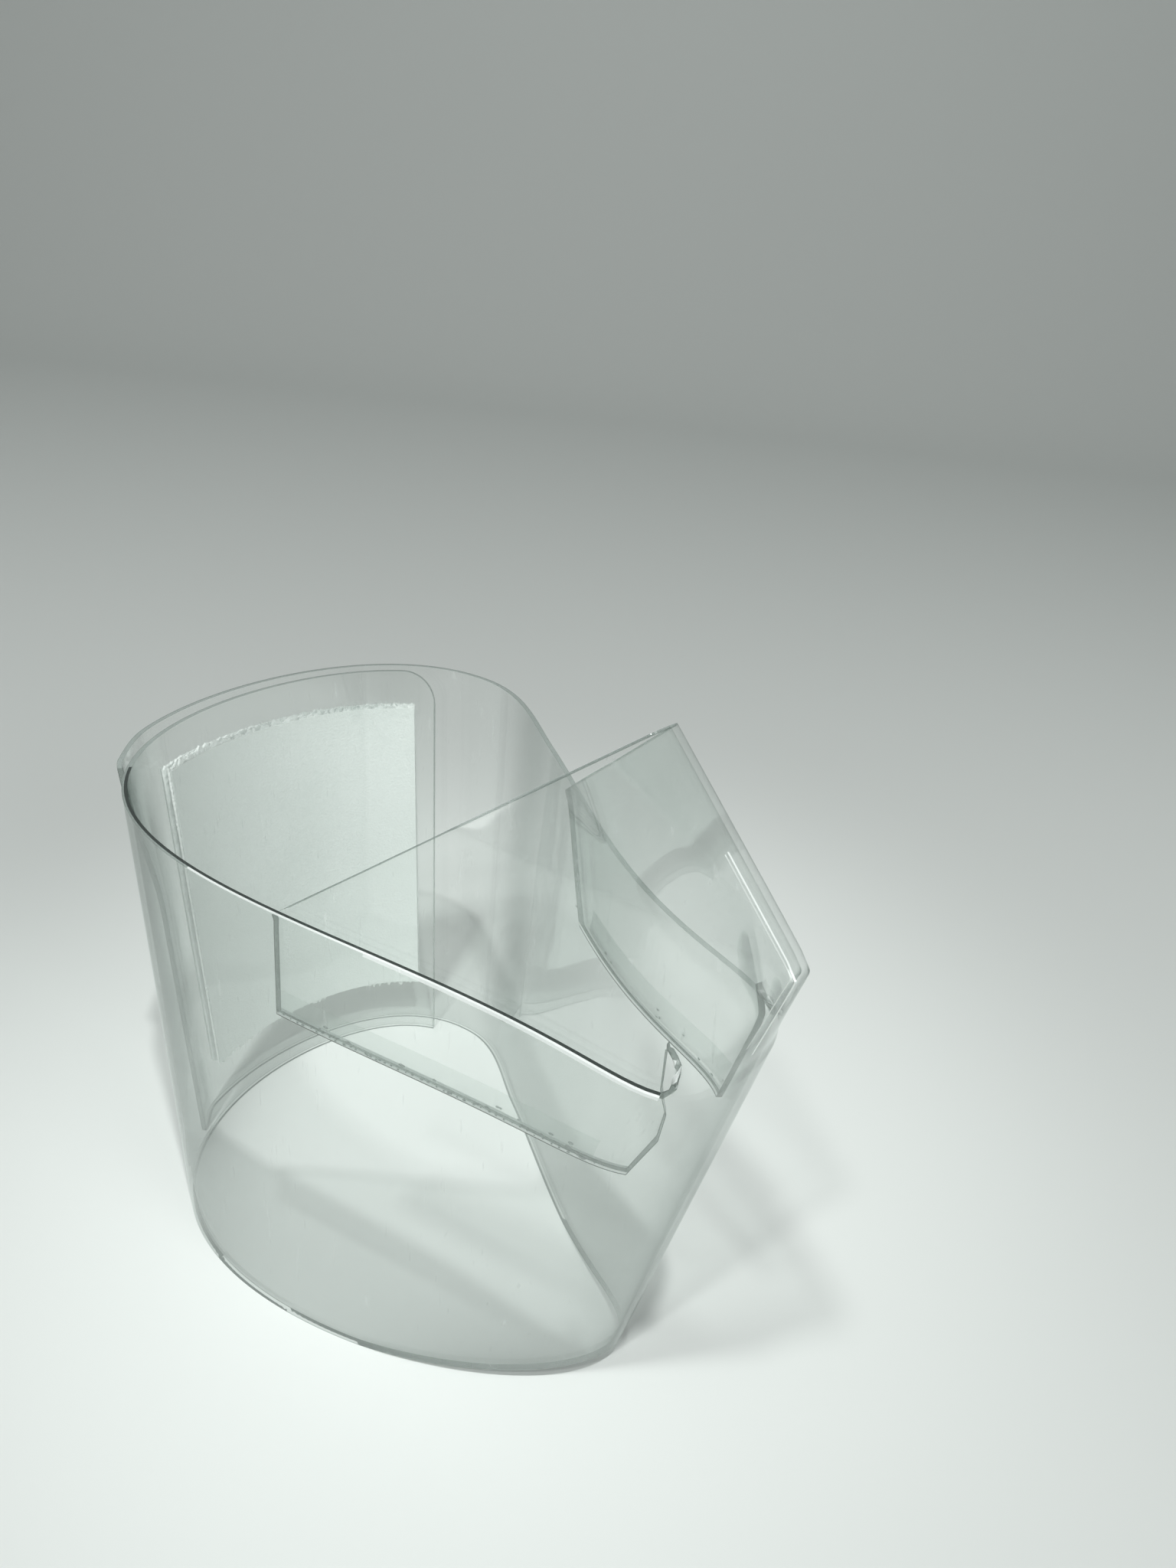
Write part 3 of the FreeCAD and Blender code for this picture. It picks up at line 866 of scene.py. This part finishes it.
def clear_material(name, tint, cast, haze, rough, shine, base=(0.86, 0.90, 0.88, 1)):
    """Clear film: see-through with a slight tint, mirror-like at low angles, with some haze.
    cast is the tint of its shadows, haze and shine are ranges, base is the haze's colour."""
    material, tree, out = new_material(name)
    link = tree.links.new
    coords = add(tree, "ShaderNodeTexCoord")
    facing = add(tree, "ShaderNodeLayerWeight", Blend=0.5)

    # the tint: its own colour for shadows, and deeper where the film is seen at a low angle
    ray = add(tree, "ShaderNodeLightPath")
    tint_in, tint_out = colour_mix(tree, ray.outputs["Is Shadow Ray"], cast)
    tint_in.default_value = tint
    deep = (tint[0] * 0.30, tint[1] * 0.34, tint[2] * 0.33, 1)
    low_angle = math_node(tree, "POWER", facing.outputs["Facing"], 4.4)
    deep_in, deep_out = colour_mix(tree, low_angle, deep)
    link(tint_out, deep_in)
    see = add(tree, "ShaderNodeBsdfTransparent")
    link(deep_out, see.inputs["Color"])

    # the haze, and the mirror
    gloss = add(tree, "ShaderNodeBsdfPrincipled", Roughness=rough, Metallic=0.0)
    gloss.inputs["Base Color"].default_value = base
    gloss.inputs["Specular IOR Level"].default_value = 1.0
    mirror = add(tree, "ShaderNodeBsdfGlossy", Roughness=rough)
    mirror.inputs["Color"].default_value = (0.98, 1.0, 0.99, 1)
    ripple = add(tree, "ShaderNodeTexNoise", Scale=55.0, Detail=2.0)
    bump = add(tree, "ShaderNodeBump", Strength=0.10, Distance=0.0008)
    link(coords.outputs["Object"], ripple.inputs["Vector"])
    link(ripple.outputs["Fac"], bump.inputs["Height"])
    for node in (gloss, mirror, facing):
        link(bump.outputs["Normal"], node.inputs["Normal"])

    # where the haze lies: soft clouds and fine scuffs
    cloud = add(tree, "ShaderNodeTexNoise", Scale=34.0, Detail=5.0, Roughness=0.6)
    link(coords.outputs["Object"], cloud.inputs["Vector"])
    stretch = add(tree, "ShaderNodeMapping")
    stretch.inputs["Scale"].default_value = (1.0, 1.6, 0.16)
    stretch.inputs["Rotation"].default_value = (0.5, 0.3, 0.0)
    scratch = add(tree, "ShaderNodeTexNoise", Scale=900.0, Detail=2.0, Roughness=0.5)
    link(coords.outputs["Object"], stretch.inputs["Vector"])
    link(stretch.outputs["Vector"], scratch.inputs["Vector"])
    clouds = map_range(tree, cloud.outputs["Fac"], (0.3, 0.75), haze)
    scuffs = map_range(tree, scratch.outputs["Fac"], (0.69, 0.76), (0.0, 0.13))
    film = shader_mix(
        tree, math_node(tree, "ADD", clouds, scuffs), see.outputs[0], gloss.outputs[0]
    )

    grazing = math_node(tree, "POWER", facing.outputs["Facing"], 5.0)
    reflection = map_range(tree, grazing, (0.0, 1.0), shine)
    link(shader_mix(tree, reflection, film, mirror.outputs[0]), out.inputs["Surface"])
    return material


film_clear = clear_material(
    "clear_vinyl", tint=(0.990, 0.995, 0.992, 1), cast=(0.965, 0.975, 0.97, 1),
    haze=(0.0, 0.035), rough=0.04, shine=(0.045, 0.95),
)
film_edge = clear_material(
    "vinyl_edge", tint=(0.34, 0.38, 0.36, 1), cast=(0.12, 0.13, 0.125, 1),
    haze=(0.2, 0.4), rough=0.12, shine=(0.05, 0.8), base=(0.34, 0.38, 0.36, 1),
)
# painted dark reflection: the near rim's cut edge drawn near black
film_dark_reflection = clear_material(
    "vinyl_edge_dark_reflection", tint=(0.07, 0.085, 0.08, 1), cast=(0.08, 0.09, 0.085, 1),
    haze=(0.4, 0.6), rough=0.12, shine=(0.03, 0.5), base=(0.05, 0.06, 0.057, 1),
)
# painted highlight: white glints beside cut edges, at the relief slits and along the crease
film_highlight = clear_material(
    "vinyl_edge_highlight", tint=(0.95, 0.98, 0.97, 1), cast=(0.8, 0.8, 0.8, 1),
    haze=(0.6, 0.95), rough=0.1, shine=(0.10, 0.9), base=(0.97, 1.0, 0.99, 1),
)
film_faint = clear_material(
    "vinyl_edge_faint", tint=(0.56, 0.61, 0.59, 1), cast=(0.08, 0.09, 0.085, 1),
    haze=(0.2, 0.4), rough=0.1, shine=(0.08, 0.9), base=(0.55, 0.60, 0.58, 1),
)
film_tape = clear_material(
    "tape_clear", tint=(0.97, 0.98, 0.975, 1), cast=(0.97, 0.98, 0.975, 1),
    haze=(0.01, 0.05), rough=0.2, shine=(0.03, 0.8),
)
bubble_skin = clear_material(
    "tape_bubble", tint=(0.62, 0.66, 0.64, 1), cast=(0.7, 0.7, 0.7, 1),
    haze=(0.15, 0.35), rough=0.06, shine=(0.08, 1.0), base=(0.9, 0.93, 0.92, 1),
)


def fabric_material(name, colour, shade, grain, pile):
    """Pale piled fabric: grain is the loops' scale and pile their height in metres."""
    material, tree, out = new_material(name)
    link = tree.links.new
    coords = add(tree, "ShaderNodeTexCoord")
    cloth = add(tree, "ShaderNodeBsdfPrincipled", Roughness=0.92)
    cloth.inputs["Sheen Weight"].default_value = 0.35
    cloth.inputs["Sheen Roughness"].default_value = 0.6
    loops = add(tree, "ShaderNodeTexVoronoi", Scale=grain, feature="SMOOTH_F1")
    loops.inputs["Smoothness"].default_value = 0.5
    fibre = add(tree, "ShaderNodeTexNoise", Scale=grain * 0.7, Detail=6.0, Roughness=0.7)
    cloud = add(tree, "ShaderNodeTexNoise", Scale=40.0, Detail=3.0)
    for node in (loops, fibre, cloud):
        link(coords.outputs["Object"], node.inputs["Vector"])
    ramp = add(tree, "ShaderNodeValToRGB")
    ramp.color_ramp.elements[0].position = 0.32
    ramp.color_ramp.elements[0].color = shade
    ramp.color_ramp.elements[1].position = 0.54
    ramp.color_ramp.elements[1].color = colour
    total = math_node(tree, "ADD", fibre.outputs["Fac"], cloud.outputs["Fac"])
    link(math_node(tree, "MULTIPLY", total, 0.5), ramp.inputs["Fac"])
    link(ramp.outputs["Color"], cloth.inputs["Base Color"])
    bump = add(tree, "ShaderNodeBump", Strength=0.6, Distance=pile)
    link(loops.outputs["Distance"], bump.inputs["Height"])
    link(bump.outputs["Normal"], cloth.inputs["Normal"])
    link(cloth.outputs[0], out.inputs["Surface"])
    return material


loop_cloth = fabric_material(
    "loop_pile", (0.93, 0.955, 0.94, 1), (0.66, 0.71, 0.69, 1), grain=1500.0, pile=0.0003
)
hook_cloth = fabric_material(
    "hook_pile", (0.91, 0.94, 0.925, 1), (0.62, 0.67, 0.65, 1), grain=900.0, pile=0.0004
)
glue_film = fabric_material(
    "glue_film", (0.88, 0.91, 0.895, 1), (0.80, 0.84, 0.82, 1), grain=2600.0, pile=0.00008
)

# the sheets' slots: clear film, cut edge, painted dark reflection, painted highlight and faint cut
# edge
for piece in (clear_sheet, bend_strip, tail_sheet):
    for material in (film_clear, film_edge, film_dark_reflection, film_highlight, film_faint):
        piece.data.materials.append(material)
loop_fabric.data.materials.append(loop_cloth)
hook_fabric.data.materials.append(hook_cloth)
bubbles.data.materials.append(bubble_skin)
for name, material in (
    ("near_wing_tape", film_tape),
    ("far_wing_tape", film_tape),
    ("loop_pad_adhesive", glue_film),
    ("hook_pad_adhesive", glue_film),
):
    for held in nodes[name].material_slots:
        held.material = material

# ---------------------------------------------------------------- riding on the frame
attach(clear_sheet, "protector")
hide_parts("band_wall", "toe_hood")
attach(tail_sheet, "closure_tail")
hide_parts("band_tail")
across = wall(HINGE_AT + 0.02, 0.5, TAIL_OFFSET) - wall(HINGE_AT - 0.02, 0.5, TAIL_OFFSET)
across.normalize()
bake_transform(bend_strip)
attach(loop_fabric, "protector")
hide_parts("loop_pad")
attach(hook_fabric, "closure_tail")
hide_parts("hook_pad")
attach(bubbles, "protector")

# ---------------------------------------------------------------- floor and backdrop, in metres
FLOOR_FRONT = -1.3
FLOOR_BACK = 0.75
SWEEP = 0.35                # radius of the curve from floor to backdrop
SWEEP_STEPS = 12
BACKDROP_TOP = 1.7
FLOOR_HALF_WIDTH = 4.0
# the camera's axes: the backdrop stands across its view
CAMERA_RIGHT = Vector((0.637142, 0.765028, 0.093715))
CAMERA_UP = Vector((-0.410892, 0.234275, 0.881069))
CAMERA_BACK = Vector((0.652087, -0.599873, 0.463610))

profile = [(FLOOR_FRONT, 0.0), (FLOOR_BACK, 0.0)]
for t in range(1, SWEEP_STEPS + 1):
    turned = 0.5 * math.pi * t / SWEEP_STEPS
    profile.append((FLOOR_BACK + SWEEP * math.sin(turned), SWEEP * (1 - math.cos(turned))))
profile.append((FLOOR_BACK + SWEEP, BACKDROP_TOP))
view_dir = Vector((-CAMERA_BACK.x, -CAMERA_BACK.y, 0)).normalized()
side_dir = Vector((view_dir.y, -view_dir.x, 0))
bm = bmesh.new()
near, far = (
    [bm.verts.new(view_dir * d + side_dir * reach + Vector((0, 0, h))) for d, h in profile]
    for reach in (-FLOOR_HALF_WIDTH, FLOOR_HALF_WIDTH)
)
for k in range(len(profile) - 1):
    bm.faces.new([near[k], far[k], far[k + 1], near[k + 1]])
bmesh.ops.recalc_face_normals(bm, faces=bm.faces)
floor = to_object(bm, "floor")
floor_paint, tree, out = new_material("floor_pale")
paint = add(tree, "ShaderNodeBsdfPrincipled", Roughness=0.55)
paint.inputs["Base Color"].default_value = (0.76, 0.785, 0.77, 1)
paint.inputs["Specular IOR Level"].default_value = 0.25
tree.links.new(paint.outputs[0], out.inputs["Surface"])
floor.data.materials.append(floor_paint)

# ---------------------------------------------------------------- camera, at the photograph's angle
camera_data = bpy.data.cameras.new("camera")
camera_data.sensor_width = 36.0
camera_data.lens = 26.51361
camera_data.clip_start = 0.005
camera_data.clip_end = 20.0
camera = bpy.data.objects.new("camera", camera_data)
bpy.context.collection.objects.link(camera)
matrix = Matrix((CAMERA_RIGHT, CAMERA_UP, CAMERA_BACK)).transposed().to_4x4()
matrix.translation = place(Vector((117.109, -82.942, 159.767)))
camera.matrix_world = matrix
bpy.context.scene.camera = camera


# ---------------------------------------------------------------- light, in metres and watts
def hang(name, data, location, target, power, colour):
    """Hangs a lamp at location and points it at target."""
    data.energy = power
    data.color = colour
    lamp = bpy.data.objects.new(name, data)
    bpy.context.collection.objects.link(lamp)
    lamp.location = location
    lamp.rotation_mode = "QUATERNION"
    lamp.rotation_quaternion = (Vector(target) - Vector(location)).to_track_quat("-Z", "Y")


COOL = (0.98, 1.0, 0.99)
for name, location, target, size, power in (
    ("key_high", (0.272, -0.145, 0.85), (0, 0, 0.02), 0.030, 2.9),
    ("key_front", (0.24, -0.50, 0.78), (0, 0, 0.02), 0.045, 1.4),
    ("front_fill", (-0.36, -0.74, 0.22), (0, 0, 0.03), 0.40, 0.8),
    ("toe_fill", (0.66, 0.05, 0.42), (-0.05, 0, 0.04), 0.35, 1.1),
):
    data = bpy.data.lights.new(name, "AREA")
    data.shape = "DISK"
    data.size = size
    hang(name, data, location, target, power, COOL)

pool = bpy.data.lights.new("soft_pool", "SPOT")
pool.spot_size = math.radians(14.0)
pool.spot_blend = 1.0
pool.shadow_soft_size = 0.04
hang("soft_pool", pool, (0.12, -0.44, 1.02), (-0.018, 0.022, 0.0), 18.0, (0.965, 1.0, 0.983))

world = bpy.data.worlds.new("studio")
world.use_nodes = True
world.node_tree.nodes["Background"].inputs["Color"].default_value = (0.80, 0.84, 0.82, 1)
world.node_tree.nodes["Background"].inputs["Strength"].default_value = 0.27
bpy.context.scene.world = world
bpy.context.scene.view_settings.view_transform = "Standard"
bpy.context.scene.cycles.transparent_max_bounces = 48
